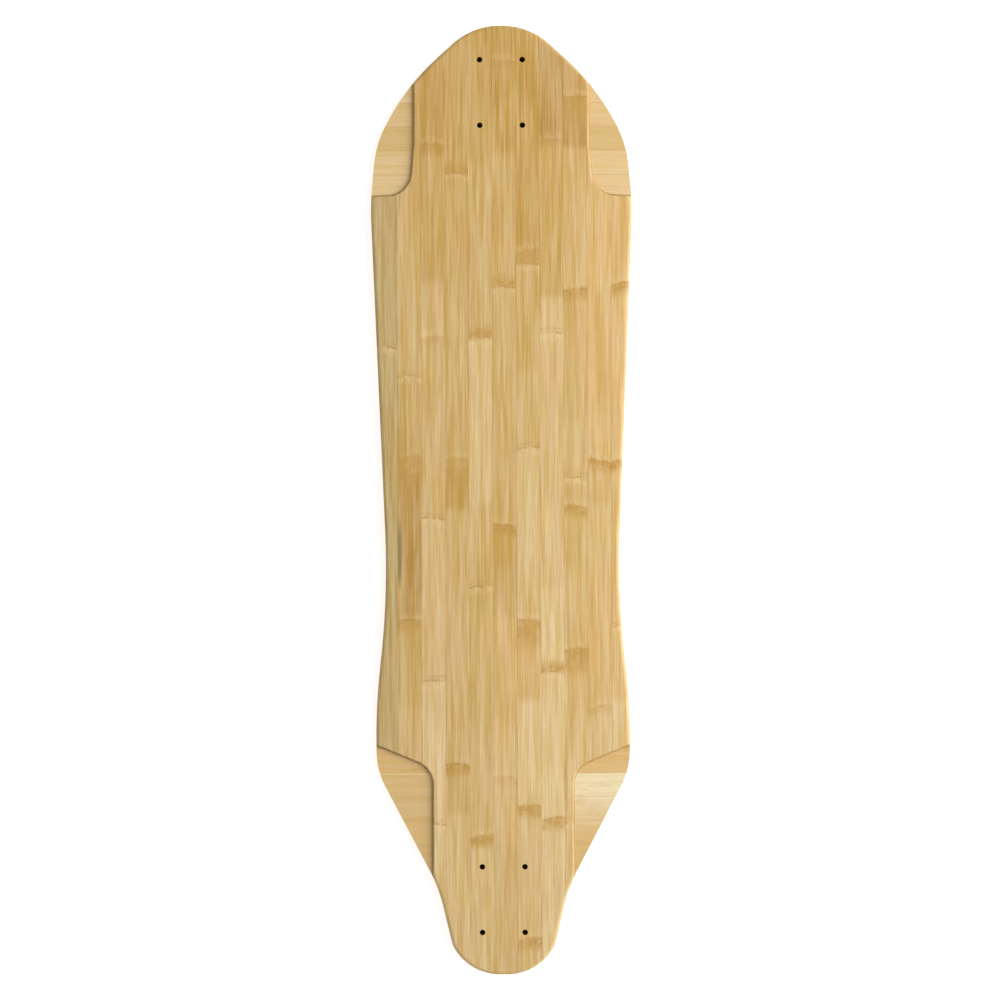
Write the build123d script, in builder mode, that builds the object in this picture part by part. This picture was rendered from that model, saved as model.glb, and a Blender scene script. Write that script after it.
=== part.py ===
from build123d import *
import os

# Longboard deck pressed from bamboo strips, lying on its riding face with its underside up.
# The axes: +Y points to the nose, +X runs across the deck and +Z points out of the underside.
# The origin is the middle of the deck's outline, on the surface that the riding face lies on.
# Five plies are glued flat on each other: two faces and a core whose strips run lengthwise,
# and between them two plies whose strips run across. Every strip is a solid of its own.

os.makedirs("parts", exist_ok=True)

# Driving dimensions, in millimetres
LENGTH = 920
FACE_PLY = 3.5  # thickness of each of the two face plies
INNER_PLY = 2.0  # thickness of each of the three plies between them
STRIP_WIDTH = 23.0  # the strips that run lengthwise
CROSS_WIDTH = 23.2  # the strips that run across
EDGE_RADIUS = 3.5  # rounding along the outline, on both faces
WELL_DEPTH = 3.7  # wheel wells, cut down through the face to lay bare the ply that runs across
WELL_COVE = 2.5  # rounding where a well's wall meets its floor
HOLE_DIAMETER = 5.56  # truck bolts
HOLE_SPACING_X = 41.275
HOLE_SPACING_Y = 63.5
NOSE_TRUCK_Y = 394.6  # middles of the two bolt patterns
TAIL_TRUCK_Y = -386.9

# Where the lengthwise joints lie: the middle strip stands off the centre line, to opposite
# sides in the faces and in the core, so that no two joints lie over each other.
FACE_OFFSET = 2.3
CORE_OFFSET = -2.3
STRIPS = 11

# One joint across each cross ply. The others follow from it, a strip apart.
UPPER_CROSS_JOINT = 315.5
LOWER_CROSS_JOINT = UPPER_CROSS_JOINT + CROSS_WIDTH / 2

# The stretches of the deck that the across strips are grouped by, from tail to nose
STRETCHES = {
    "tail": (-LENGTH / 2, -372),
    "rear_wells": (-372, -240),
    "waist": (-240, 292),
    "front_wells": (292, 408),
    "nose": (408, LENGTH / 2),
}

PLIES = (FACE_PLY, INNER_PLY, INNER_PLY, INNER_PLY, FACE_PLY)  # from the riding face up
THICKNESS = sum(PLIES)
NOSE_Y = LENGTH / 2
TAIL_Y = -LENGTH / 2
BEYOND = 150  # across: outside the deck's widest point

# Right-hand half of the outline, as a polyline with rounded corners: x, y, corner radius
OUTLINE = [
    (27.3, NOSE_Y, 68),  # nose
    (93.5, 399.7, 224),  # side of the nose
    (121.6, 344.6, 104),  # front shoulder
    (127.0, 286.4, 268),  # widest point
    (111.2, -93.0, 825),  # waist
    (123.3, -197.6, 620),  # flare
    (122.7, -261.6, 74),  # rear shoulder
    (63.3, -375.1, 149),  # root of the tail
    (49.5, -432.0, 20),  # side of the tail
    (32.0, TAIL_Y, 52),  # tail
]

# Walls of the right-hand wheel wells, from outside the deck to outside the deck
FRONT_WELL = [(83.9, 345.0, 60), (88.4, 295.0, 24)]
FRONT_WELL_ENDS = [(83.9, 430.0), (BEYOND, 292.6)]
REAR_WELL = [(67.3, -259.3, 24)]
REAR_WELL_ENDS = [(67.3, -390.0), (BEYOND, -224.9)]


def rounded_line(start, corners, end):
    """A line from start to end whose corners, each x, y and radius, are rounded."""
    points = [(x, y) for x, y, radius in corners]
    FilletPolyline(start, *points, end, radius=[radius for x, y, radius in corners])


def well_cutter(corners, ends):
    """What the router takes out at one wheel well, with its lower edges rounded."""
    start, end = ends
    with BuildPart() as cutter:
        with BuildSketch(Plane.XY.offset(THICKNESS - WELL_DEPTH)):
            with BuildLine():
                rounded_line(start, corners, end)
                Polyline(end, (BEYOND, start[1]), start)
            make_face()
        extrude(amount=2 * WELL_DEPTH)
        fillet(cutter.faces().sort_by(Axis.Z)[0].edges(), radius=WELL_COVE)
    return cutter.part


def cut_out(source, x_span, y_span, z_span):
    """The part of source that lies within the three spans."""
    spans = (x_span, y_span, z_span)
    with BuildPart() as piece:
        add(source)
        with Locations([tuple(low for low, high in spans)]):
            Box(*[high - low for low, high in spans], align=[Align.MIN] * 3, mode=Mode.INTERSECT)
    return piece.part


def joints_between(low, high, first, pitch):
    """Places of the joints inside a span, a pitch apart and counted from a known one."""
    lowest = first - int((first - low) / pitch) * pitch
    count = int((high - lowest) / pitch) + 1
    return [lowest + i * pitch for i in range(count)]


# The whole deck, before it is taken apart into its strips
with BuildPart() as deck:
    with BuildSketch():
        with BuildLine():
            rounded_line((0, NOSE_Y), OUTLINE, (0, TAIL_Y))
            mirror(about=Plane.YZ)
        make_face()
    extrude(amount=THICKNESS)
    fillet(deck.faces().filter_by(Axis.Z).edges(), radius=EDGE_RADIUS)
    for corners, ends in ((FRONT_WELL, FRONT_WELL_ENDS), (REAR_WELL, REAR_WELL_ENDS)):
        cutter = well_cutter(corners, ends)
        add(cutter, mode=Mode.SUBTRACT)
        add(cutter.mirror(Plane.YZ), mode=Mode.SUBTRACT)
    with Locations((0, NOSE_TRUCK_Y, THICKNESS), (0, TAIL_TRUCK_Y, THICKNESS)):
        with GridLocations(HOLE_SPACING_X, HOLE_SPACING_Y, 2, 2):
            Hole(HOLE_DIAMETER / 2)


def cut_ply(level):
    """One whole ply, counted from the riding face up."""
    low = sum(PLIES[:level])
    return cut_out(deck.part, (-BEYOND, BEYOND), (TAIL_Y, NOSE_Y), (low, low + PLIES[level]))


def save_lengthwise_ply(name, level, offset):
    """One ply of strips that run from nose to tail, numbered from the -X side."""
    ply = cut_ply(level)
    first_joint = offset - (STRIPS - 2) * STRIP_WIDTH / 2
    joints = [first_joint + i * STRIP_WIDTH for i in range(STRIPS - 1)]
    edges = [-BEYOND, *joints, BEYOND]
    for number, x_span in enumerate(zip(edges, edges[1:]), start=1):
        strip = cut_out(ply, x_span, (TAIL_Y, NOSE_Y), (0, THICKNESS))
        strip.label = f"{name}_strip_{number:02d}"
        export_step(strip, f"parts/{strip.label}.step")


def save_cross_ply(name, level, known_joint):
    """One ply of strips that run across, in a group of separate solids for each stretch."""
    ply = cut_ply(level)
    edges = [TAIL_Y, *joints_between(TAIL_Y, NOSE_Y, known_joint, CROSS_WIDTH), NOSE_Y]
    spans = list(zip(edges, edges[1:]))
    for stretch, (low, high) in STRETCHES.items():
        members = [(a, b) for a, b in spans if low <= (a + b) / 2 < high]
        strips = [cut_out(ply, (-BEYOND, BEYOND), y_span, (0, THICKNESS)) for y_span in members]
        group = Compound(label=f"{name}_{stretch}", children=strips)
        export_step(group, f"parts/{group.label}.step")


save_lengthwise_ply("riding", 0, FACE_OFFSET)
save_cross_ply("lower_cross", 1, LOWER_CROSS_JOINT)
save_lengthwise_ply("core", 2, CORE_OFFSET)
save_cross_ply("upper_cross", 3, UPPER_CROSS_JOINT)
save_lengthwise_ply("underside", 4, FACE_OFFSET)

size = deck.part.bounding_box().size
print(f"deck {size.X:.1f} x {size.Y:.1f} x {size.Z:.1f} mm, volume {deck.part.volume / 1000:.0f} cm3")
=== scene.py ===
import bpy
import numpy as np
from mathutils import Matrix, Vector


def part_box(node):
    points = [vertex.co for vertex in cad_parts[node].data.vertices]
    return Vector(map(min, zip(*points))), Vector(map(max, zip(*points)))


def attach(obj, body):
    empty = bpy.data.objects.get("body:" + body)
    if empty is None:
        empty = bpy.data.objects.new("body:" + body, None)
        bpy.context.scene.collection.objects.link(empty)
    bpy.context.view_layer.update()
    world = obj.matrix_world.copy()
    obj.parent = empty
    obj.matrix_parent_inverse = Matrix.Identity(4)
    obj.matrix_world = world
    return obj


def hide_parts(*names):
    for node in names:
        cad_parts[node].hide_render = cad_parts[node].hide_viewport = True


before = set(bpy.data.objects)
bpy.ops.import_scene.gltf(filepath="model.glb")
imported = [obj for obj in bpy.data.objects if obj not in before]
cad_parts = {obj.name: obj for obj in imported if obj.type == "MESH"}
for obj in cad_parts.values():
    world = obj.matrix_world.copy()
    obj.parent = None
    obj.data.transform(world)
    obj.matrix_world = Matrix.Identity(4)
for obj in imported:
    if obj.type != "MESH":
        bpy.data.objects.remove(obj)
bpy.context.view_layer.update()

# A longboard deck pressed from bamboo strips, lying on its riding face with its underside up.
# +Y points to the nose. The sizes below are in millimetres, as on the maker's drawing, and a
# mesh becomes metres when it is made. What the frame can say is read from the frame.
MM = 0.001

LENGTH = 920.0
EDGE_RADIUS = 3.5  # rounding along the outline, on both faces
WELL_DEPTH = 3.7
WELL_COVE = 2.5  # rounding where a well's wall meets its floor
LIP = 0.4  # the sanded edge at the top of a well's wall
WALL_LEAN = 0.02  # how far a well's standing wall leans out over its height
HOLE_RADIUS = 2.78
HOLE_SPACING = (41.275, 63.5)
TRUCKS_Y = (394.6, -386.9)
CROSS_WIDTH = 23.2
CROSS_JOINTS = {"upper_cross": 315.5, "lower_cross": 327.1}  # one joint of each cross ply
BEYOND = 150.0  # across: outside the deck's widest point

# How the skins are worked out, in millimetres where it is a length
CHORD = 8.0  # longest step along an arc
BATCH = 4000  # points measured against a path at one time, to spare memory
EDGE_ZONE = 15.0  # points further in than this from the outline's side aren't measured against it
END_ZONE = 20.0  # the same at the nose and the tail
WALL_ZONE = 4.0  # the same on the high side of a well's wall
CLOSE = 0.25  # stations nearer to each other than this are thinned
TOUCH = 1e-4  # places nearer to each other than this are one place
NO_CHORD = 1e-3  # a hole narrower than this at a station isn't there
SLIVER = 0.5  # a joint nearer than this to the end of a group of strips is that end
WELDS = 5e3  # places in a millimetre at which points become one
SHARP = 32  # degrees between two faces, from which their edge stays sharp

# Right-hand half of the outline, from nose to tail, as corners with a radius each
OUTLINE = [
    (27.3, 460.0, 68), (93.5, 399.7, 224), (121.6, 344.6, 104), (127.0, 286.4, 268),
    (111.2, -93.0, 825), (123.3, -197.6, 620), (122.7, -261.6, 74), (63.3, -375.1, 149),
    (49.5, -432.0, 20), (32.0, -460.0, 52),
]
# Walls of the right-hand wells, each from its end nearer the nose to the other
FRONT_WALL = [(83.9, 345.0, 60), (88.4, 295.0, 24)]
FRONT_WALL_ENDS = [(83.9, 430.0), (BEYOND, 292.6)]
REAR_WALL = [(67.3, -259.3, 24)]
REAR_WALL_ENDS = [(BEYOND, -224.9), (67.3, -390.0)]


# ---------------------------------------------------------------- lines of the deck

def rounded_line(start, corners, end):
    """A path of straight runs with an arc at each corner: the arc's centre lies a radius off the
    run that comes in, and its points turn about that centre from one touching point to the other."""
    corners = np.array(corners, float)
    knots = np.vstack([start, corners[:, :2], end])
    path = [knots[:1]]
    for before, here, after, radius in zip(knots, knots[1:], knots[2:], corners[:, 2]):
        coming = (here - before) / np.linalg.norm(here - before)
        going = (after - here) / np.linalg.norm(after - here)
        turn = np.arctan2(coming[0] * going[1] - coming[1] * going[0], coming @ going)
        touch = here - coming * radius * np.tan(abs(turn) / 2)
        centre = touch + radius * np.sign(turn) * np.array([-coming[1], coming[0]])
        chord = min(CHORD, 0.05 * radius)
        angle = np.linspace(0, turn, int(abs(turn) * radius / chord) + 4)[:, None]
        x, y = touch - centre
        path.append(centre + np.hstack([x * np.cos(angle) - y * np.sin(angle),
                                        x * np.sin(angle) + y * np.cos(angle)]))
    path.append(knots[-1:])
    return np.vstack(path)


def shifted(path, by):
    """The path moved sideways to its left: each point by that distance along the mean of the two
    normals beside it."""
    run = np.diff(path, axis=0)
    run = run / np.linalg.norm(run, axis=1, keepdims=True)
    normal = np.stack([-run[:, 1], run[:, 0]], 1)
    mean = np.vstack([normal[:1], normal[:-1] + normal[1:], normal[-1:]])
    return path + by * mean / np.linalg.norm(mean, axis=1, keepdims=True)


def x_on(path, y):
    """x where a path that only descends passes each y, and BEYOND where it doesn't reach."""
    return np.interp(y, path[::-1, 1], path[::-1, 0], left=BEYOND, right=BEYOND)


def distance(x, y, path):
    """Distance from each point to the nearest run of a path: its foot on a run is held between
    the run's two ends."""
    start, run = path[:-1], np.diff(path, axis=0)
    points = np.stack([x.ravel(), y.ravel()], 1)
    nearest = np.empty(len(points))
    for first in range(0, len(points), BATCH):
        part = slice(first, first + BATCH)
        away = points[part, None] - start
        share = np.clip((away * run).sum(2) / (run**2).sum(1), 0, 1)
        nearest[part] = np.sqrt(((away - share[..., None] * run) ** 2).sum(2).min(1))
    return nearest.reshape(x.shape)


outline = rounded_line((0, LENGTH / 2), OUTLINE, (0, -LENGTH / 2))
front_wall = rounded_line(FRONT_WALL_ENDS[0], FRONT_WALL, FRONT_WALL_ENDS[1])
rear_wall = rounded_line(REAR_WALL_ENDS[0], REAR_WALL, REAR_WALL_ENDS[1])
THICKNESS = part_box("underside_strip_06")[1].z / MM
FLOOR = THICKNESS - WELL_DEPTH


def outline_x(y, inset=0.0):
    """Half width of the deck at each y, on the outline moved in by inset."""
    line = shifted(outline, -inset)
    return np.interp(y, line[::-1, 1], line[::-1, 0])


def wall_x(y, out=0.0):
    """|x| of the well's wall moved out into the well, where there is a well at that y."""
    return np.minimum(x_on(shifted(front_wall, out), y), x_on(shifted(rear_wall, out), y))


def edge_drop(x, y):
    """How far the rounded outline falls below the face: with d the distance to the outline and
    R the rounding, R - sqrt(R^2 - (R - d)^2) where d < R, and nothing further in."""
    drop = np.zeros(x.shape)
    near = (outline_x(y) - abs(x) < EDGE_ZONE) | (abs(y) > LENGTH / 2 - END_ZONE)
    left_over = EDGE_RADIUS - distance(abs(x[near]), y[near], outline)
    left_over = np.clip(left_over, 0, EDGE_RADIUS)
    drop[near] = EDGE_RADIUS - np.sqrt(EDGE_RADIUS**2 - left_over**2)
    return drop


def well_height(x, y):
    """Height that the router leaves: the face, a sanded lip, a standing wall, a quarter-round
    cove and the floor, all as functions of the signed distance to the wall's line."""
    height = np.full(x.shape, THICKNESS)
    out = abs(x) - wall_x(y)
    near = out > -WALL_ZONE
    far = distance(abs(x[near]), y[near], front_wall)
    far = np.minimum(far, distance(abs(x[near]), y[near], rear_wall))
    signed = np.where(out[near] > 0, far, -far)
    lip = LIP - np.sqrt(LIP**2 - np.clip(LIP + signed, 0, LIP) ** 2)
    cove = np.clip(WELL_COVE - signed, 0, WELL_COVE)
    low = FLOOR + WELL_COVE - np.sqrt(WELL_COVE**2 - cove**2)
    standing = np.clip(signed / WALL_LEAN, 0, 1)
    height[near] = (THICKNESS - lip) * (1 - standing) + low * standing
    return height


def crossings(path, x):
    """y at every place where a path crosses a line of constant x."""
    side = path[:, 0] - x
    at = np.flatnonzero(side[:-1] * side[1:] < 0)
    share = side[at] / (side[at] - side[at + 1])
    return path[at, 1] + share * (path[at + 1, 1] - path[at, 1])


# ---------------------------------------------------------------- strips as closed skins

# Insets from the outline where the columns of a skin run, spaced evenly by angle round the edge
ROUND = EDGE_RADIUS * (1 - np.cos(np.radians([4, 12, 22, 32, 43, 54, 66, 78, 90])))
ROUND = np.append(ROUND, EDGE_RADIUS + 0.5)
# Distances from a well's wall where they run: face, lip, wall, cove, floor
WALL = [-1.0, -LIP, -0.25, -0.12, -0.03, 0.0, WALL_LEAN, 0.12, 0.35, 0.7, 1.1]
FOOT = [1.6, 1.9, 2.2, WELL_COVE, 3.0]
# Places along Y, from, to and apart, where an end wall runs across the strips at a slant
FRONT_END_WALL = (290.4, 299.0, 0.35)
REAR_END_WALL = (-262.0, -236.0, 0.9)
# The same at the nose and the tail, inwards from the very end
CAP = (0.3, 12.0, 0.6)
# Distances to either side of a place where a line crosses a joint
BESIDE = np.array([0.4, 0.9, 1.6, 2.6, 4.0, 6.0])


def stations(x_lines, low=-LENGTH / 2, high=LENGTH / 2):
    """Every y where the skins need a section: both ends, where an outline or a wall crosses a
    joint, round the bolt holes, and evenly along the arcs."""
    paths = [shifted(outline, -inset) for inset in (0, EDGE_RADIUS)]
    paths += [shifted(wall, out) for wall in (front_wall, rear_wall) for out in (0, foot_reach)]
    exact = [[low, high]]
    soft = [outline[:, 1], front_wall[:, 1], rear_wall[:, 1]]
    for line in x_lines:
        for path in paths:
            found = crossings(path, abs(line))
            exact.append(found)
            soft.append((found[:, None] + np.concatenate([-BESIDE, BESIDE])).ravel())
    angle = np.radians(np.arange(-90, 91, 15))
    for truck in TRUCKS_Y:
        for side in (-0.5, 0.5):
            exact.append(truck + side * HOLE_SPACING[1] + HOLE_RADIUS * np.sin(angle))
    for end in (-1, 1):
        soft.append(end * (LENGTH / 2 - ROUND))
        soft.append(end * (LENGTH / 2 - np.arange(*CAP)))
    soft += [np.arange(*FRONT_END_WALL), np.arange(*REAR_END_WALL)]
    exact = np.unique(np.round(np.concatenate(exact), 5))
    exact = exact[(exact > low - TOUCH) & (exact < high + TOUCH)]
    soft = np.unique(np.concatenate(soft))
    soft = soft[(soft > low) & (soft < high)]
    soft = soft[np.diff(soft, prepend=-1e9) > CLOSE / 4]
    soft = soft[abs(soft[:, None] - exact).min(1) > CLOSE]
    kept = [soft[0]] if len(soft) else []
    for y in soft[1:]:
        if y - kept[-1] > CLOSE:
            kept.append(y)
    return np.sort(np.concatenate([exact, kept]))


def welded(points, quads):
    """Points at one place become one, and a quad that loses corners by it becomes a triangle or
    goes. Returns points, the corner list and the corner count of each face."""
    places = np.round(points * WELDS).astype(np.int64)
    _, first, number = np.unique(places, axis=0, return_index=True, return_inverse=True)
    quads = number.reshape(-1)[quads]
    same = quads == np.roll(quads, -1, axis=1)
    folded = (quads[:, 0] == quads[:, 2]) | (quads[:, 1] == quads[:, 3])
    whole = quads[(same.sum(1) == 0) & ~folded]
    lost = (same.sum(1) == 1) & ~folded
    triangles = quads[lost][~same[lost]].reshape(-1, 3)
    corners = np.concatenate([whole.ravel(), triangles.ravel()])
    counts = np.concatenate([np.full(len(whole), 4), np.full(len(triangles), 3)])
    used, corners = np.unique(corners, return_inverse=True)
    return points[first][used], corners.reshape(-1), counts


def bolt_holes(rows, left, right):
    """The two lines of bolt holes, where they pass through a strip: x of the line and, at each
    station, half the chord of a hole there, sqrt(r^2 - off^2), or nought."""
    found = []
    for line in (-HOLE_SPACING[0] / 2, HOLE_SPACING[0] / 2):
        chord = np.zeros(len(rows))
        for truck in TRUCKS_Y:
            for side in (-0.5, 0.5):
                off = rows - (truck + side * HOLE_SPACING[1])
                chord = np.maximum(chord, np.sqrt(np.clip(HOLE_RADIUS**2 - off**2, 0, None)))
        chord[chord <= NO_CHORD] = 0
        if left.min() < line < right.max() and chord.any():
            found.append((line, chord))
    return found


def quads_between(p, q, r, s):
    """One quad for each place in four arrays of corners, in that order round it."""
    return np.stack([p, q, r, s], -1).reshape(-1, 4)


def skin(rows, left, right, z_low, z_high, features, plain=4):
    """One strip as points and quads. At each station its section runs from the left limit to the
    right one. The columns stand at even shares of that span and where features of the surface
    pass; the top is the lower of the ply's top and the deck's surface, and the bottom likewise.
    A bolt hole parts the section in two, and the walls close it all round."""
    everywhere = np.ones(len(rows), bool)
    limits = [(left, everywhere)]
    for line, chord in bolt_holes(rows, left, right):
        limits.append((np.clip(line - chord, left, right), chord > 0))
        limits.append((np.clip(line + chord, left, right), chord > 0))
    limits.append((right, everywhere))

    share = np.linspace(0, 1, plain + 1)[1:-1]
    lines = [feature(rows)[:, None] * side for feature in features for side in (-1, 1)]
    points, quads, count = [], [], 0
    for (a, open_a), (b, open_b) in zip(limits[::2], limits[1::2]):
        inner = np.hstack([a[:, None] + (b - a)[:, None] * share, *lines])
        inner = np.sort(np.clip(inner, a[:, None], b[:, None]), axis=1)
        x = np.hstack([a[:, None], inner, b[:, None]])
        y = np.broadcast_to(rows[:, None], x.shape)
        drop = edge_drop(x, y)
        low = np.maximum(z_low, drop)
        high = np.minimum(z_high, np.minimum(THICKNESS - drop, well_height(x, y)))
        high = np.maximum(high, low)
        n, m = x.shape
        top = count + np.arange(n * m).reshape(n, m)
        base = top + n * m
        points += [np.stack([x, y, z], 2).reshape(-1, 3) for z in (high, low)]
        count += 2 * n * m
        wall_a = open_a[:-1] | open_a[1:]
        wall_b = open_b[:-1] | open_b[1:]
        quads += [
            quads_between(top[:-1, :-1], top[:-1, 1:], top[1:, 1:], top[1:, :-1]),
            quads_between(base[:-1, :-1], base[1:, :-1], base[1:, 1:], base[:-1, 1:]),
            quads_between(top[0, 1:], top[0, :-1], base[0, :-1], base[0, 1:]),
            quads_between(top[-1, :-1], top[-1, 1:], base[-1, 1:], base[-1, :-1]),
            quads_between(top[:-1, 0], top[1:, 0], base[1:, 0], base[:-1, 0])[wall_a],
            quads_between(top[1:, -1], top[:-1, -1], base[:-1, -1], base[1:, -1])[wall_b],
        ]
    return np.vstack(points), np.vstack(quads)


def add_piece(node, skins):
    """One object from the skins of a CAD node, which it replaces. Each face keeps how steep it
    is, 1 - |z of its normal|: 0 on a level face and 1 on an upright one."""
    parts, count = [], 0
    for loose in skins:  # strips of one node touch, so each is welded by itself
        points, corners, counts = welded(*loose)
        parts.append((points, corners + count, counts))
        count += len(points)
    points, corners, counts = (np.concatenate(kind) for kind in zip(*parts))
    mesh = bpy.data.meshes.new(node)
    mesh.vertices.add(len(points))
    mesh.vertices.foreach_set("co", (points * MM).astype(np.float32).ravel())
    mesh.loops.add(len(corners))
    mesh.loops.foreach_set("vertex_index", corners.astype(np.int32))
    mesh.polygons.add(len(counts))
    mesh.polygons.foreach_set("loop_start", (np.cumsum(counts) - counts).astype(np.int32))
    mesh.update(calc_edges=True)
    mesh.validate()
    mesh.shade_smooth()
    mesh.set_sharp_from_angle(angle=np.radians(SHARP))
    normals = np.empty(3 * len(mesh.polygons), np.float32)
    mesh.polygons.foreach_get("normal", normals)
    steep = mesh.attributes.new("steep", "FLOAT", "FACE")
    steep.data.foreach_set("value", 1 - abs(normals[2::3]))
    piece = bpy.data.objects.new("shaped_" + node, mesh)
    bpy.context.scene.collection.objects.link(piece)
    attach(piece, "root")
    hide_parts(node)
    return piece


def span(node, axis):
    """Lowest and highest place of a CAD node along one axis, in millimetres."""
    low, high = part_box(node)
    return low[axis] / MM, high[axis] / MM


def reach_down(depth):
    """Distance from a well's wall at which its cove is depth above the floor: the quarter round
    solved for it, r - sqrt(r^2 - (r - depth)^2)."""
    return WELL_COVE - np.sqrt(WELL_COVE**2 - (WELL_COVE - depth) ** 2)


face_low = span("underside_strip_06", 2)[0]
foot_reach = reach_down(face_low - FLOOR)  # where the cove leaves the face ply for the one below
round_features = [lambda y, d=d: outline_x(y, d) for d in ROUND]
wall_features = [lambda y, s=s: wall_x(y, s) for s in WALL]
foot_features = [lambda y, s=s: wall_x(y, s) for s in FOOT]


def lengthwise_strips(ply, features, in_wells):
    """The strips of one ply that run from nose to tail: each lies between two joints and within
    the outline, and in the face ply also within the feet of the wells' walls."""
    names = sorted(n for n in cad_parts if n.startswith(ply + "_strip"))
    joints = [span(n, 0)[0] for n in names[1:]]
    edges = [-BEYOND, *joints, BEYOND]
    rows = stations(joints)
    z_low, z_high = span(names[len(names) // 2], 2)
    widest = outline_x(rows)
    if in_wells:
        widest = np.minimum(widest, wall_x(rows, foot_reach))
    made = []
    for name, low, high in zip(names, edges, edges[1:]):
        left = np.maximum(low, -widest)
        right = np.minimum(high, widest)
        present = np.flatnonzero(right - left > -TOUCH)
        part = slice(present[0], present[-1] + 1)
        left, right = left[part], np.maximum(left, right)[part]
        made.append(add_piece(name, [skin(rows[part], left, right, z_low, z_high, features)]))
    return made


def cross_strips(ply, features):
    """The strips of one ply that run across, in the groups that the frame has: their joints lie
    whole strips away from the ply's known one."""
    names = sorted(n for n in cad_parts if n.startswith(ply))
    most = int(LENGTH / CROSS_WIDTH) + 1
    joints = np.arange(-most, most) * CROSS_WIDTH + CROSS_JOINTS[ply]
    made = []
    for name in names:
        low, high = span(name, 1)
        z_low, z_high = span(name, 2)
        edges = [low, *joints[(joints > low + SLIVER) & (joints < high - SLIVER)], high]
        skins = []
        for a, b in zip(edges, edges[1:]):
            rows = stations([], a, b)
            widest = outline_x(rows)
            skins.append(skin(rows, -widest, widest, z_low, z_high, features, plain=6))
        made.append(add_piece(name, skins))
    return made


underside = lengthwise_strips("underside", round_features + wall_features, True)
upper_cross = cross_strips("upper_cross", foot_features)
core = lengthwise_strips("core", [], False)
lower_cross = cross_strips("lower_cross", [])
riding = lengthwise_strips("riding", round_features, False)


# ---------------------------------------------------------------- finishes

# Where the three inner plies begin and end, and how thick one of them is
PLY_LEVELS = (span("lower_cross_waist", 2)[0], span("upper_cross_waist", 2)[1])
INNER_PLY = span("core_strip_06", 2)[1] - span("core_strip_06", 2)[0]

# From here on lengths are in metres, as the materials see them, unless a comment says otherwise.
# A knuckle's bow and tilt over half a strip's width, its waver, and where its second line runs
PER_HALF_STRIP = 87.0  # turns a distance across a strip into a share of half its width
KNUCKLE_BOW = 0.0011
KNUCKLE_TILT = 0.0016
KNUCKLE_WAVER = 0.0045
SECOND_LINE = 0.0042

STRIP_CONTRAST = 1.0  # how strongly the fibres show: lengthwise strips
CROSS_CONTRAST = 0.35  # and strips across, whose cut face was sanded by the router
RELIEF = 0.00006  # height of the fibres under the lacquer
SEED_STEP = 0.37  # between one lengthwise strip's fibres and the next one's

# Painted sheen in the rear wells, paler towards +X where the key light stands: the joint along Y
# where it starts, how far it reaches towards the tail and how soon it is full, how far off the
# middle of the deck it is at its most, and how far past the joint its pale seam lies
SHEEN_FROM = (CROSS_JOINTS["upper_cross"] - 25 * CROSS_WIDTH) * MM
SHEEN_REACH = 0.07
SHEEN_START = 0.015
SHEEN_SIDE = 0.09
PALE_SEAM_PAST = 0.0009


class Tree:
    """Adds nodes to a material or a group. An input given as a socket is linked, and one given as
    a value is set. Inputs go by name, or by number where a node repeats a name."""

    def __init__(self, tree):
        self.tree = tree

    def add(self, kind, inputs=None, **settings):
        node = self.tree.nodes.new("ShaderNode" + kind)
        for name, value in settings.items():
            setattr(node, name, value)
        for name, value in (inputs or {}).items():
            if isinstance(value, bpy.types.NodeSocket):
                self.tree.links.new(value, node.inputs[name])
            else:
                node.inputs[name].default_value = value
        return node

    def math(self, operation, *values):
        return self.add("Math", dict(enumerate(values)), operation=operation).outputs[0]

    def vector(self, operation, *values):
        return self.add("VectorMath", dict(enumerate(values)), operation=operation).outputs[0]

    def mix(self, share, a, b, blend="MIX"):
        inputs = {0: share, 6: a, 7: b}
        return self.add("Mix", inputs, data_type="RGBA", blend_type=blend).outputs[2]

    def ramp(self, value, low, high, to_low=0.0, to_high=1.0):
        """value from low..high to to_low..to_high, eased at both ends."""
        inputs = {0: value, 1: low, 2: high, 3: to_low, 4: to_high}
        return self.add("MapRange", inputs, interpolation_type="SMOOTHSTEP").outputs[0]

    def noise(self, vector, across, along, detail=2.0, roughness=0.55):
        """Noise drawn out along the fibres, which run along Y: how fine it is across them and
        along them, in a metre."""
        drawn = self.vector("MULTIPLY", vector, (across, along, across))
        inputs = {"Vector": drawn, "Scale": 1.0, "Detail": detail, "Roughness": roughness}
        return self.add("TexNoise", inputs).outputs["Fac"]


def new_group(name, inputs, outputs):
    """An empty group with its sockets: name, kind and default of each input, name and kind of
    each output. Returns its tree, its input sockets and a function that feeds the outputs."""
    group = bpy.data.node_groups.new(name, "ShaderNodeTree")
    for socket, kind, default in inputs:
        made = group.interface.new_socket(name=socket, in_out="INPUT",
                                          socket_type="NodeSocket" + kind)
        if default is not None:
            made.default_value = default
    for socket, kind in outputs:
        group.interface.new_socket(name=socket, in_out="OUTPUT", socket_type="NodeSocket" + kind)
    tree = Tree(group)
    given = group.nodes.new("NodeGroupInput")
    taken = group.nodes.new("NodeGroupOutput")

    def finish(**values):
        for socket, value in values.items():
            group.links.new(value, taken.inputs[socket])

    return tree, given.outputs, finish


def linear(red, green, blue):
    """A colour given as it is seen, 0 to 255, as the light it sends back."""
    seen = np.array([red, green, blue]) / 255
    sent = np.where(seen > 0.04045, ((seen + 0.055) / 1.055) ** 2.4, seen / 12.92)
    return (*sent.tolist(), 1.0)


# Tints multiply a strip's own tone
GOLD_TINT = linear(245, 236, 206)
GREEN_TINT = linear(242, 247, 208)
DARK_TINT = linear(214, 200, 174)
GLUE_TINT = linear(176, 160, 132)
PLY_TINT = linear(150, 120, 84)
# The next tint darkens steep faces: partly lacquer sunk into cut fibres, partly painted shade
CUT_EDGE_SHADE_TINT = linear(208, 190, 160)
CROSS_JOINT_TINT = linear(186, 166, 132)
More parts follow.
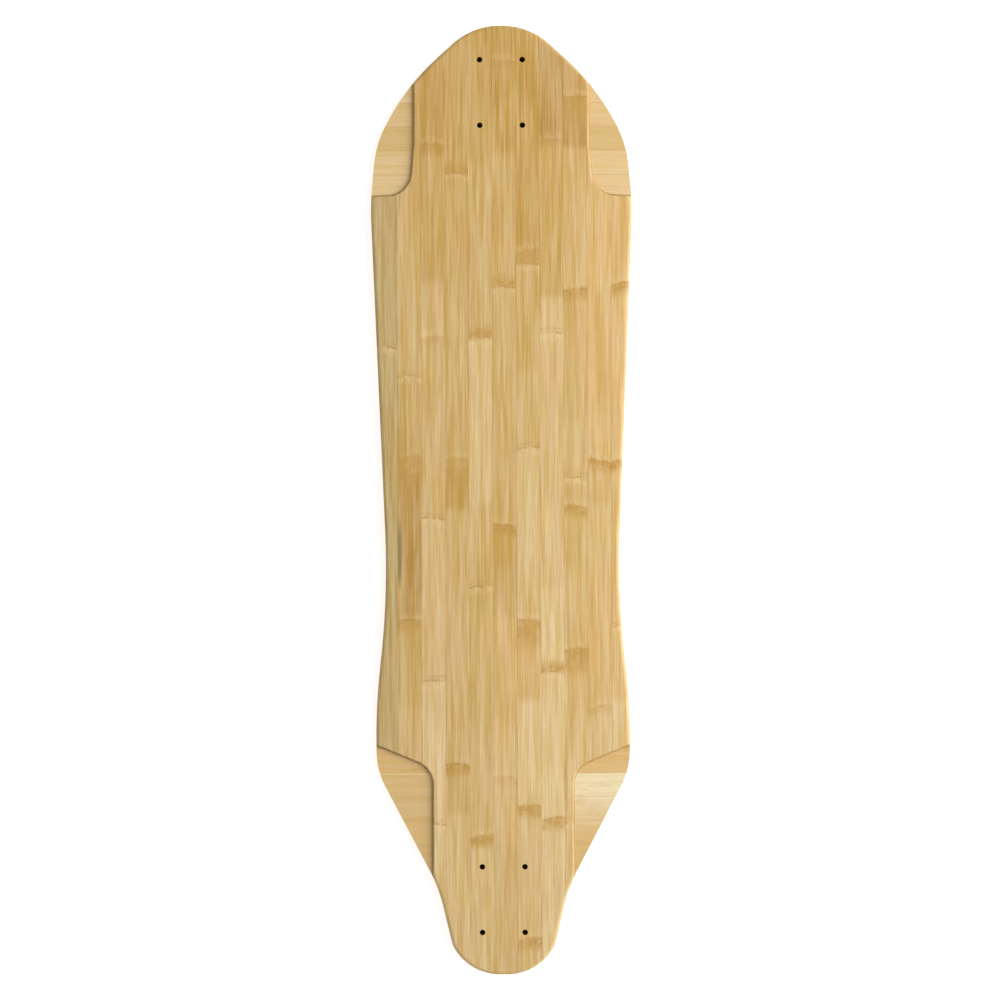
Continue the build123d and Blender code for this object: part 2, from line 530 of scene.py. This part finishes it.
# These are mixed into it
PALE_FIBRE = linear(228, 206, 172)
ROSE_FIBRE = linear(216, 174, 136)
LIGHT_FIBRE = linear(238, 218, 172)
KNUCKLE_STAIN = linear(182, 140, 66)
KNUCKLE_PALE = linear(236, 210, 158)
KNUCKLE_LINE = linear(164, 122, 64)
KNUCKLE_TICKS = linear(140, 104, 62)
OUTER_SKIN = linear(128, 116, 66)
# The next colour is painted sheen laid over the rear wells, and the one after it the pale seam at
# their joint
SHEEN_PALE = linear(236, 224, 194)
PALE_SEAM = linear(246, 228, 184)
UNSET = (0.6, 0.4, 0.2, 1)  # what a group's colour is before a material gives it one


def bamboo_fibre_group():
    """Bamboo cut along its fibres, which run along Y: hairlines, streaks and broad bands drawn
    out along Y, laid over the strip's own tone, with a height for the bump."""
    tree, given, finish = new_group(
        "bamboo_fibre",
        [("Vector", "Vector", None), ("Seed", "Float", 0.0), ("Tone", "Color", UNSET),
         ("Contrast", "Float", 1.0)],
        [("Color", "Color"), ("Rough", "Float"), ("Height", "Float")])
    shift = tree.add("CombineXYZ", {0: given["Seed"], 1: tree.math("MULTIPLY", given["Seed"], 1.7),
                                    2: tree.math("MULTIPLY", given["Seed"], 0.6)}).outputs[0]
    place = tree.vector("ADD", given["Vector"], shift)
    hair = tree.ramp(tree.noise(place, 1500, 60), 0.3, 0.7)
    streak = tree.ramp(tree.noise(place, 780, 20), 0.34, 0.66)
    line = tree.ramp(tree.noise(place, 1150, 15, 1), 0.56, 0.7)
    band = tree.ramp(tree.noise(place, 240, 10), 0.34, 0.66)
    green = tree.ramp(tree.noise(place, 210, 13), 0.5, 0.68)
    elsewhere = tree.vector("ADD", place, (3.1, 4.7, 1.9))
    rose = tree.ramp(tree.noise(elsewhere, 170, 11), 0.48, 0.66)
    tone = given["Tone"]
    golden = tree.mix(1.0, tone, GOLD_TINT, "MULTIPLY")
    pale = tree.mix(0.22, tone, PALE_FIBRE)
    evened = tree.math("MULTIPLY_ADD", tree.math("SUBTRACT", band, 0.5), given["Contrast"], 0.5)
    colour = tree.mix(evened, golden, pale)
    colour = tree.mix(tree.math("MULTIPLY", green, 0.38), colour,
                      tree.mix(1.0, tone, GREEN_TINT, "MULTIPLY"))
    colour = tree.mix(tree.math("MULTIPLY", rose, 0.45), colour,
                      tree.mix(0.55, tone, ROSE_FIBRE))
    dark = tree.mix(1.0, colour, DARK_TINT, "MULTIPLY")
    light = tree.mix(0.4, colour, LIGHT_FIBRE)
    strength = tree.math("MULTIPLY", given["Contrast"], 0.43)
    colour = tree.mix(tree.math("MULTIPLY", tree.math("SUBTRACT", 1.0, streak), strength),
                      colour, dark)
    colour = tree.mix(tree.math("MULTIPLY", line, strength), colour, light)
    colour = tree.mix(tree.math("MULTIPLY", tree.math("SUBTRACT", 1.0, hair), 0.16), colour, dark)
    height = tree.math("ADD", tree.math("MULTIPLY", hair, 0.6), tree.math("MULTIPLY", streak, 0.4))
    rough = tree.ramp(streak, 0.0, 1.0, 0.56, 0.45)
    finish(Color=colour, Rough=rough, Height=height)
    return tree.tree


def knuckle_group():
    """The mark that a joint of the cane leaves across a strip: a bowed, broken brown line with a
    fainter one beside it, short dark ticks along the fibres, a golden-brown stain that fades off
    to one side and pale mottling on the other. Place is y, Middle the strip's own x."""
    tree, given, finish = new_group(
        "cane_knuckle",
        [("Vector", "Vector", None), ("Color", "Color", UNSET),
         ("Place", "Float", 0.0), ("Middle", "Float", 0.0), ("Side", "Float", 1.0),
         ("Line", "Float", 0.5), ("Stain", "Float", 0.5), ("Pale", "Float", 0.3),
         ("Reach", "Float", 0.02), ("Lean", "Float", 0.0)],
        [("Color", "Color")])
    axes = tree.add("SeparateXYZ", {0: given["Vector"]}).outputs
    across = tree.math("MULTIPLY", tree.math("SUBTRACT", axes["X"], given["Middle"]),
                       PER_HALF_STRIP)
    bow = tree.math("MULTIPLY", tree.math("MULTIPLY", across, across), KNUCKLE_BOW)
    tilt = tree.math("MULTIPLY", across, tree.math("MULTIPLY", given["Lean"], KNUCKLE_TILT))
    waver = tree.math("SUBTRACT", tree.noise(given["Vector"], 110, 60), 0.5)
    away = tree.math("SUBTRACT", axes["Y"], given["Place"])
    for moved in (bow, tilt, tree.math("MULTIPLY", waver, KNUCKLE_WAVER)):
        away = tree.math("ADD", away, moved)
    away = tree.math("MULTIPLY", away, given["Side"])
    gap = tree.math("ABSOLUTE", away)
    second = tree.math("ABSOLUTE", tree.math("SUBTRACT", away, SECOND_LINE))
    mottle = tree.ramp(tree.noise(given["Vector"], 260, 170, 3, 0.65), 0.36, 0.62)
    strands = tree.ramp(tree.noise(given["Vector"], 420, 35), 0.3, 0.65)
    broken = tree.ramp(tree.noise(given["Vector"], 190, 20), 0.4, 0.58)
    twin = tree.math("MULTIPLY", tree.ramp(second, 0.0003, 0.0016, 1.0, 0.0),
                     tree.math("MULTIPLY", mottle, 0.45))
    line = tree.math("MULTIPLY", tree.ramp(gap, 0.0003, 0.0017, 1.0, 0.0), broken)
    line = tree.math("MULTIPLY", tree.math("MAXIMUM", line, twin), given["Line"])
    ticks = tree.ramp(tree.noise(given["Vector"], 700, 80, 1), 0.62, 0.74)
    ticks = tree.math("MULTIPLY", ticks, tree.ramp(gap, 0.002, 0.0065, 1.0, 0.0))
    ticks = tree.math("MULTIPLY", ticks, given["Line"])
    rise = tree.ramp(away, -0.004, 0.002)
    fade = tree.ramp(tree.math("DIVIDE", away, given["Reach"]), 0.3, 1.0, 1.0, 0.0)
    stain = tree.math("MULTIPLY", tree.math("MULTIPLY", rise, fade), given["Stain"])
    patchy = tree.math("ADD", tree.math("MULTIPLY", mottle, 0.45),
                       tree.math("MULTIPLY", strands, 0.3))
    stain = tree.math("MULTIPLY", stain, tree.math("ADD", patchy, 0.25))
    pale = tree.math("MULTIPLY", tree.ramp(away, -0.010, -0.003),
                     tree.ramp(away, -0.002, 0.001, 1.0, 0.0))
    pale = tree.math("MULTIPLY", tree.math("MULTIPLY", pale, given["Pale"]), mottle)
    colour = tree.mix(stain, given["Color"], KNUCKLE_STAIN)
    colour = tree.mix(pale, colour, KNUCKLE_PALE)
    colour = tree.mix(line, colour, KNUCKLE_LINE)
    colour = tree.mix(ticks, colour, KNUCKLE_TICKS)
    finish(Color=colour)
    return tree.tree


def glue_line_group():
    """The hairline where two strips meet: darkest within a tenth of a millimetre of either joint,
    gone at 0.6 mm, and broken up along it."""
    tree, given, finish = new_group(
        "glue_line",
        [("Vector", "Vector", None), ("Color", "Color", UNSET),
         ("Low", "Float", 0.0), ("High", "Float", 0.0)],
        [("Color", "Color")])
    x = tree.add("SeparateXYZ", {0: given["Vector"]}).outputs["X"]
    gap = tree.math("MINIMUM", tree.math("ABSOLUTE", tree.math("SUBTRACT", x, given["Low"])),
                    tree.math("ABSOLUTE", tree.math("SUBTRACT", x, given["High"])))
    broken = tree.ramp(tree.noise(given["Vector"], 60, 24), 0.38, 0.65, 0.0, 0.5)
    share = tree.math("MULTIPLY", tree.ramp(gap, 0.0001, 0.0006, 1.0, 0.0), broken)
    finish(Color=tree.mix(share, given["Color"],
                          tree.mix(1.0, given["Color"], GLUE_TINT, "MULTIPLY")))
    return tree.tree


def ply_line_group():
    """The dark glue lines that show on the deck's edge: where z is within a fifth of a millimetre
    of a level where two plies meet. The levels are an inner ply apart."""
    tree, given, finish = new_group(
        "ply_line", [("Vector", "Vector", None), ("Color", "Color", UNSET)],
        [("Color", "Color")])
    z = tree.add("SeparateXYZ", {0: given["Vector"]}).outputs["Z"]
    level = tree.math("DIVIDE", tree.math("SUBTRACT", z, PLY_LEVELS[0] * MM), INNER_PLY * MM)
    gap = tree.math("ABSOLUTE", tree.math("SUBTRACT", level, tree.math("ROUND", level)))
    middle = (PLY_LEVELS[0] + PLY_LEVELS[1]) / 2 * MM
    within = tree.math("LESS_THAN", tree.math("ABSOLUTE", tree.math("SUBTRACT", z, middle)),
                       (PLY_LEVELS[1] - PLY_LEVELS[0] + 1) / 2 * MM)
    share = tree.math("MULTIPLY", tree.ramp(gap, 0.03, 0.09, 0.7, 0.0), within)
    finish(Color=tree.mix(share, given["Color"],
                          tree.mix(1.0, given["Color"], PLY_TINT, "MULTIPLY")))
    return tree.tree


def cut_edge_shade_group():
    """The deck's edge and the wells' walls: darker and browner the steeper the surface stands. Part
    of this is the cut fibres taking the lacquer darker, and part is painted shade that tones down
    the lit rim and darkens the wells' walls."""
    tree, given, finish = new_group(
        "cut_edge_shade", [("Color", "Color", UNSET), ("Steep", "Float", 0.0)],
        [("Color", "Color")])
    share = tree.ramp(given["Steep"], 0.2, 0.9)
    finish(Color=tree.mix(share, given["Color"],
                          tree.mix(1.0, given["Color"], CUT_EDGE_SHADE_TINT, "MULTIPLY")))
    return tree.tree


def skin_streak_group():
    """A dark green-grey streak where the cane's outer skin was left on: close beside a joint at
    Beside, between Low and High along Y, and faded at its ends."""
    tree, given, finish = new_group(
        "skin_streak",
        [("Vector", "Vector", None), ("Color", "Color", UNSET),
         ("Beside", "Float", 0.0), ("Low", "Float", 0.0), ("High", "Float", 0.1)],
        [("Color", "Color")])
    axes = tree.add("SeparateXYZ", {0: given["Vector"]}).outputs
    waver = tree.math("MULTIPLY", tree.noise(given["Vector"], 30, 30), 0.002)
    inward = tree.math("ADD", tree.math("SUBTRACT", axes["X"], given["Beside"]), waver)
    share = tree.ramp(inward, 0.0028, 0.0055, 0.85, 0.0)
    middle = tree.math("MULTIPLY", tree.math("ADD", given["Low"], given["High"]), 0.5)
    half = tree.math("MULTIPLY", tree.math("SUBTRACT", given["High"], given["Low"]), 0.5)
    off = tree.math("ABSOLUTE", tree.math("SUBTRACT", axes["Y"], middle))
    along = tree.math("DIVIDE", off, half)
    share = tree.math("MULTIPLY", share, tree.ramp(along, 0.35, 1.0, 1.0, 0.0))
    finish(Color=tree.mix(share, given["Color"], OUTER_SKIN))
    return tree.tree


fibre_group = bamboo_fibre_group()
knuckle_mark = knuckle_group()
glue_line = glue_line_group()
ply_line = ply_line_group()
cut_edge_shade = cut_edge_shade_group()
skin_streak = skin_streak_group()


def placed(tree, group, **inputs):
    """A shared group, placed in a material with its own values."""
    return tree.add("Group", inputs, node_tree=group).outputs


def sawn(tree, place, colour):
    """The colour with what shows where the board was cut: glue lines, and on steep faces opened
    fibres darkened partly by lacquer and partly by painted shade.
    """
    colour = placed(tree, ply_line, Vector=place, Color=colour)["Color"]
    steep = tree.add("Attribute", attribute_name="steep").outputs["Fac"]
    return placed(tree, cut_edge_shade, Color=colour, Steep=steep)["Color"]


def new_material(name):
    """A material with nodes, its tree, and the place on the object in its own coordinates."""
    material = bpy.data.materials.new(name)
    material.use_nodes = True
    material.node_tree.nodes.clear()
    tree = Tree(material.node_tree)
    return material, tree, tree.add("TexCoord").outputs["Object"]


def shown(tree, shader):
    """Ends a material with its shader."""
    out = tree.add("OutputMaterial")
    tree.tree.links.new(shader.outputs[0], out.inputs["Surface"])


def lacquered(tree, colour, rough, height):
    """The thin satin lacquer over the bamboo: its gloss follows the fibres, and so does a relief
    of a few hundredths of a millimetre."""
    bump = tree.add("Bump", {"Height": height, "Distance": RELIEF, "Strength": 0.6})
    shader = tree.add("BsdfPrincipled", {"Base Color": colour, "Roughness": rough,
                                         "Normal": bump.outputs[0]})
    shader.inputs["Specular IOR Level"].default_value = 0.3
    shader.inputs["Coat Weight"].default_value = 0.1
    shader.inputs["Coat Roughness"].default_value = 0.3
    shown(tree, shader)


# The tones that bamboo has, from the greener outer cane to the paler inner one
TONES = {
    "amber": linear(196, 159, 80), "honey": linear(201, 167, 95), "straw": linear(205, 173, 109),
    "sand": linear(209, 178, 118), "cream": linear(216, 187, 133), "pale": linear(223, 197, 149),
    "peach": linear(215, 181, 121), "moss": linear(190, 167, 111), "bark": linear(188, 152, 80),
}

# Each strip of the underside from nose to tail: its tones, and between two of them the place, in
# millimetres towards the nose, where one gives way to the other at a knuckle of the cane
STRIP_TONES = [
    "moss",
    "sand 124 honey 30 bark -110 straw -195 sand",
    "amber 338 straw 300 honey 215 sand -17 cream -174 pale",
    "honey 311 straw 34 amber -6 sand -258 straw -300 cream",
    "honey 330 straw 158 cream 0 sand -330 cream",
    "amber 340 straw -25 honey -60 straw -110 peach -330 sand",
    "amber 241 straw 130 sand 51 cream -118 peach -190 pale -285 cream",
    "bark 349 honey 200 cream -80 pale",
    "bark 345 sand 199 straw 80 sand -150 cream",
    "peach 36 straw 0 cream -60 peach -200 cream",
    "peach -190 pale",
]

# How a knuckle shows: how strong its line, stain and pale mottling are, how far the stain
# reaches in metres, and the side that it is on, 1 towards the nose and -1 towards the tail
KNUCKLES = {
    "dark": (0.6, 1.0, 0.15, 0.015, -1), "brown": (0.38, 0.9, 0.15, 0.016, -1),
    "deep": (0.35, 0.85, 0.2, 0.036, -1), "long": (0.15, 0.75, 0.1, 0.056, -1),
    "over": (0.4, 0.9, 0.2, 0.015, 1), "pale": (0.28, 0.3, 0.16, 0.012, -1),
    "thin": (0.48, 0.15, 0.3, 0.008, 1),
}

# The knuckles of each strip of the underside: distance towards the nose in millimetres, and kind
STRIP_KNUCKLES = [
    [(149, "thin")],
    [(121, "thin"), (42, "long"), (-116, "brown")],
    [(345, "pale"), (158, "pale"), (-17, "thin"), (-174, "thin"), (-313, "thin")],
    [(317, "over"), (40, "long"), (-256, "dark")],
    [(158, "over"), (-83, "thin"), (-325, "brown")],
    [(425, "pale"), (207, "over"), (-24, "dark"), (-268, "pale")],
    [(241, "pale"), (229, "over"), (51, "thin"), (-116, "deep"), (-296, "brown"), (-425, "brown")],
    [(349, "pale"), (162, "thin"), (-166, "over"), (-308, "brown")],
    [(391, "deep"), (204, "dark"), (22, "thin"), (-6, "brown"), (-144, "deep"), (-313, "thin")],
    [(38, "dark"), (-200, "pale")],
    [(211, "dark"), (38, "dark"), (-118, "thin")],
]

# Strips that kept some of the cane's outer skin beside their left joint, from and to along Y
SKIN_LEFT_ON = {"bamboo_underside_02": (-92, -14)}

GIVE_WAY = 7.0  # a tone gives way to the next over this length, in millimetres


def tones_along(tree, place, words):
    """A strip's tones along Y, each even between the places where it gives way to the next."""
    y = tree.add("SeparateXYZ", {0: place}).outputs["Y"]
    waver = tree.math("MULTIPLY", tree.noise(place, 300, 20), GIVE_WAY * MM)
    share = tree.add("MapRange", {0: tree.math("ADD", y, waver), 1: LENGTH / 2 * MM,
                                  2: -LENGTH / 2 * MM}).outputs[0]
    names, places = words.split()[::2], [float(word) for word in words.split()[1::2]]
    node = tree.add("ValToRGB", {0: share})
    stops = node.color_ramp.elements
    stops[0].color, stops[-1].color = TONES[names[0]], TONES[names[-1]]
    for before, after, middle in zip(names, names[1:], places):
        for name, at in ((before, middle + GIVE_WAY / 2), (after, middle - GIVE_WAY / 2)):
            stops.new(0.5 - at / LENGTH).color = TONES[name]
    return node.outputs[0]


def strip_material(name, seed, tones, knuckles, low, high):
    """Bamboo for one strip that runs from nose to tail between two joints: its tones, the fibres
    over them, its knuckles, and the joints. Each knuckle leans by the sine of its own place."""
    material, tree, place = new_material(name)
    fibre = placed(tree, fibre_group, Vector=place, Seed=seed, Contrast=STRIP_CONTRAST,
                   Tone=tones_along(tree, place, tones))
    colour = fibre["Color"]
    for y, kind in knuckles:
        line, stain, pale, reach, side = KNUCKLES[kind]
        colour = placed(tree, knuckle_mark, Vector=place, Color=colour, Place=y * MM,
                        Middle=(low + high) / 2 * MM, Side=side, Line=line, Stain=stain,
                        Pale=pale, Reach=reach, Lean=np.sin(0.7 * y))["Color"]
    if name in SKIN_LEFT_ON:
        start, end = SKIN_LEFT_ON[name]
        colour = placed(tree, skin_streak, Vector=place, Color=colour, Beside=low * MM,
                        Low=start * MM, High=end * MM)["Color"]
    colour = placed(tree, glue_line, Vector=place, Color=colour, Low=low * MM,
                    High=high * MM)["Color"]
    colour = sawn(tree, place, colour)
    lacquered(tree, colour, fibre["Rough"], fibre["Height"])
    return material


def sheen_paled_tone(tree, place, y, tone):
    """The tone paled by painted sheen on the tail's side of one joint, most of all on the +X side,
    towards the key light: the share falls off towards the tail and is uneven, and the joint itself
    shows as a pale seam."""
    x = tree.add("SeparateXYZ", {0: place}).outputs["X"]
    past = tree.ramp(y, SHEEN_FROM - 0.001, SHEEN_FROM, 1.0, 0.0)
    share = tree.math("MULTIPLY", tree.ramp(x, -SHEEN_SIDE, SHEEN_SIDE, 0.1, 1.0),
                      tree.ramp(y, SHEEN_FROM - SHEEN_REACH, SHEEN_FROM - SHEEN_START))
    uneven = tree.ramp(tree.noise(place, 45, 120), 0.25, 0.6, 0.55, 1.0)
    share = tree.math("MULTIPLY", tree.math("MULTIPLY", share, past), uneven)
    tone = tree.mix(share, tone, SHEEN_PALE)
    seam = tree.math("ABSOLUTE", tree.math("SUBTRACT", y, SHEEN_FROM - PALE_SEAM_PAST))
    return tree.mix(tree.ramp(seam, 0.0003, 0.0009, 0.6, 0.0), tone, PALE_SEAM)


def cross_material(name, seed, joint, tone_a, tone_b, sheen_paled):
    """Bamboo for strips that run across: the fibres turned by a right angle, with a seed and a
    tone of its own for each strip, and a hairline at each joint."""
    material, tree, place = new_material(name)
    turned = tree.add("Mapping", {"Vector": place, "Rotation": (0, 0, np.pi / 2)}).outputs[0]
    y = tree.add("SeparateXYZ", {0: place}).outputs["Y"]
    count = tree.math("DIVIDE", tree.math("SUBTRACT", y, joint * MM), CROSS_WIDTH * MM)
    number = tree.math("FLOOR", count)
    own = tree.add("TexWhiteNoise", {"W": tree.math("ADD", number, seed)},
                   noise_dimensions="1D").outputs["Value"]
    tone = tree.mix(own, TONES[tone_a], TONES[tone_b])
    # Painted sheen of the key light over the rear wells
    if sheen_paled:
        tone = sheen_paled_tone(tree, place, y, tone)
    fibre = placed(tree, fibre_group, Vector=turned, Seed=tree.math("MULTIPLY", own, 5.0),
                   Contrast=CROSS_CONTRAST, Tone=tone)
    joint_gap = tree.math("ABSOLUTE", tree.math("SUBTRACT", count, tree.math("ROUND", count)))
    hairline = tree.ramp(joint_gap, 0.006, 0.025, 0.28, 0.0)
    colour = tree.mix(hairline, fibre["Color"],
                      tree.mix(1.0, fibre["Color"], CROSS_JOINT_TINT, "MULTIPLY"))
    colour = sawn(tree, place, colour)
    lacquered(tree, colour, fibre["Rough"], fibre["Height"])
    return material


def finish_strips(pieces, slot, tones, knuckles, first_seed):
    """Gives each lengthwise strip its own bamboo. A joint lies where the next strip's mesh
    begins."""
    joints = [min(v.co.x for v in piece.data.vertices) / MM for piece in pieces[1:]]
    edges = [-BEYOND, *joints, BEYOND]
    for number, piece in enumerate(pieces):
        material = strip_material(f"{slot}_{number + 1:02d}", first_seed + SEED_STEP * number,
                                  tones[number], knuckles[number], edges[number],
                                  edges[number + 1])
        piece.data.materials.append(material)


def finish_cross(pieces, joint, tones, first_seed):
    """Gives each group of across strips its bamboo."""
    for number, piece in enumerate(pieces):
        name = piece.name.replace("shaped_", "bamboo_")
        stretch = piece.name.split("cross_")[1]
        tone_a, tone_b = tones.get(stretch, ("bark", "straw"))
        # The rear wells get painted sheen
        material = cross_material(name, first_seed + 7 * number, joint, tone_a, tone_b,
                                  stretch == "rear_wells")
        piece.data.materials.append(material)


finish_strips(underside, "bamboo_underside", STRIP_TONES, STRIP_KNUCKLES, 1.0)
# The riding face is pressed from the same canes: in another order, and with their knuckles turned
# end for end about a point a little off the deck's middle
RIDING_ORDER = [10, 3, 7, 0, 5, 8, 2, 9, 4, 1, 6]
RIDING_SHIFT = 17
finish_strips(riding, "bamboo_riding", [STRIP_TONES[i] for i in RIDING_ORDER],
              [[(RIDING_SHIFT - y, kind) for y, kind in STRIP_KNUCKLES[i]] for i in RIDING_ORDER],
              9.0)
finish_strips(core, "bamboo_core", ["amber 200 honey -150 straw"] * len(core),
              [[] for strip in core], 17.0)
finish_cross(upper_cross, CROSS_JOINTS["upper_cross"],
             {"front_wells": ("sand", "pale"), "rear_wells": ("sand", "peach")}, 3)
finish_cross(lower_cross, CROSS_JOINTS["lower_cross"], {}, 90)


# ---------------------------------------------------------------- floor, light and camera

CLEAR = 0.0003  # between the floor and the deck
FLOOR_REACH = 12.0
FLOOR_GLOW = 0.6
PAINTED_SHADE_PATCH = (0.04, 0.44)  # half the width and the length of the patch of painted shade under the deck
FLOOR_PALE = (linear(240, 240, 240), linear(246, 246, 246))
# The floor's colour under the deck: painted shade, so that the bolt holes look deep
FLOOR_PAINTED_SHADE = linear(90, 80, 70)
SKY = 0.50  # light from all round
BACKDROP = 0.95  # how bright the surroundings are seen
KEY_POWER = 65.0
KEY_PLACE = (1.75, 0.25, 1.22)
KEY_SIZE = 1.9
FRAMED = 0.968  # across the picture, at the deck's upper face
LENS = 85.0  # millimetres, as is the sensor
SENSOR = 36.0
CAMERA_X = -0.0023
CAMERA_TURN = -0.2  # degrees


def pale_floor():
    """A pale studio floor that sends back a little light of its own, except under the deck, where it
    is painted dark and doesn't glow: painted shade, so that the bolt holes look deep."""
    mesh = bpy.data.meshes.new("studio_floor")
    corners = np.array([(-1, -1, 0), (1, -1, 0), (1, 1, 0), (-1, 1, 0)]) * FLOOR_REACH
    corners = corners - (0, 0, CLEAR)
    mesh.from_pydata(corners.tolist(), [], [(0, 1, 2, 3)])
    floor = bpy.data.objects.new("studio_floor", mesh)
    bpy.context.scene.collection.objects.link(floor)
    material, tree, place = new_material("studio_floor")
    axes = tree.add("SeparateXYZ", {0: place}).outputs
    within_x = tree.math("LESS_THAN", tree.math("ABSOLUTE", axes["X"]), PAINTED_SHADE_PATCH[0])
    within_y = tree.math("LESS_THAN", tree.math("ABSOLUTE", axes["Y"]), PAINTED_SHADE_PATCH[1])
    painted_shade_under = tree.math("MULTIPLY", within_x, within_y)
    speck = tree.noise(place, 300, 300, 3)
    pale = tree.mix(tree.ramp(speck, 0.3, 0.7), *FLOOR_PALE)
    # Painted shade on the floor under the deck, which also gets no glow
    colour = tree.mix(painted_shade_under, pale, FLOOR_PAINTED_SHADE)
    shader = tree.add("BsdfPrincipled", {"Base Color": colour, "Roughness": 0.85,
                                         "Emission Color": (1, 1, 1, 1)})
    tree.tree.links.new(tree.math("MULTIPLY", tree.math("SUBTRACT", 1.0, painted_shade_under), FLOOR_GLOW),
                        shader.inputs["Emission Strength"])
    shown(tree, shader)
    mesh.materials.append(material)


def key_softbox():
    """A square soft light beside the deck, turned to face its middle."""
    lamp = bpy.data.lights.new("key_softbox", "AREA")
    lamp.size = KEY_SIZE
    lamp.energy = KEY_POWER
    light = bpy.data.objects.new("key_softbox", lamp)
    light.location = KEY_PLACE
    light.rotation_euler = (-Vector(KEY_PLACE)).to_track_quat("-Z", "Y").to_euler()
    bpy.context.scene.collection.objects.link(light)


def even_sky():
    """Even white light from all round, and brighter surroundings where the camera sees them."""
    world = bpy.data.worlds.new("studio")
    bpy.context.scene.world = world
    world.use_nodes = True
    world.node_tree.nodes.clear()
    sky = Tree(world.node_tree)
    seen = sky.add("LightPath").outputs["Is Camera Ray"]
    strength = sky.math("ADD", SKY, sky.math("MULTIPLY", seen, BACKDROP - SKY))
    glow = sky.add("Background", {"Color": (1, 1, 1, 1), "Strength": strength})
    end = sky.add("OutputWorld")
    world.node_tree.links.new(glow.outputs[0], end.inputs["Surface"])


def overhead_camera():
    """A camera that looks straight down, turned a little, from the height at which its view is
    FRAMED wide at the deck's upper face: that width times lens over sensor."""
    data = bpy.data.cameras.new("overhead")
    data.lens = LENS
    data.sensor_width = SENSOR
    camera = bpy.data.objects.new("overhead", data)
    camera.location = (CAMERA_X, 0.0, THICKNESS * MM + FRAMED * LENS / SENSOR)
    camera.rotation_euler = (0, 0, np.radians(CAMERA_TURN))
    bpy.context.scene.collection.objects.link(camera)
    bpy.context.scene.camera = camera


pale_floor()
key_softbox()
even_sky()
overhead_camera()
bpy.context.scene.view_settings.view_transform = "Standard"
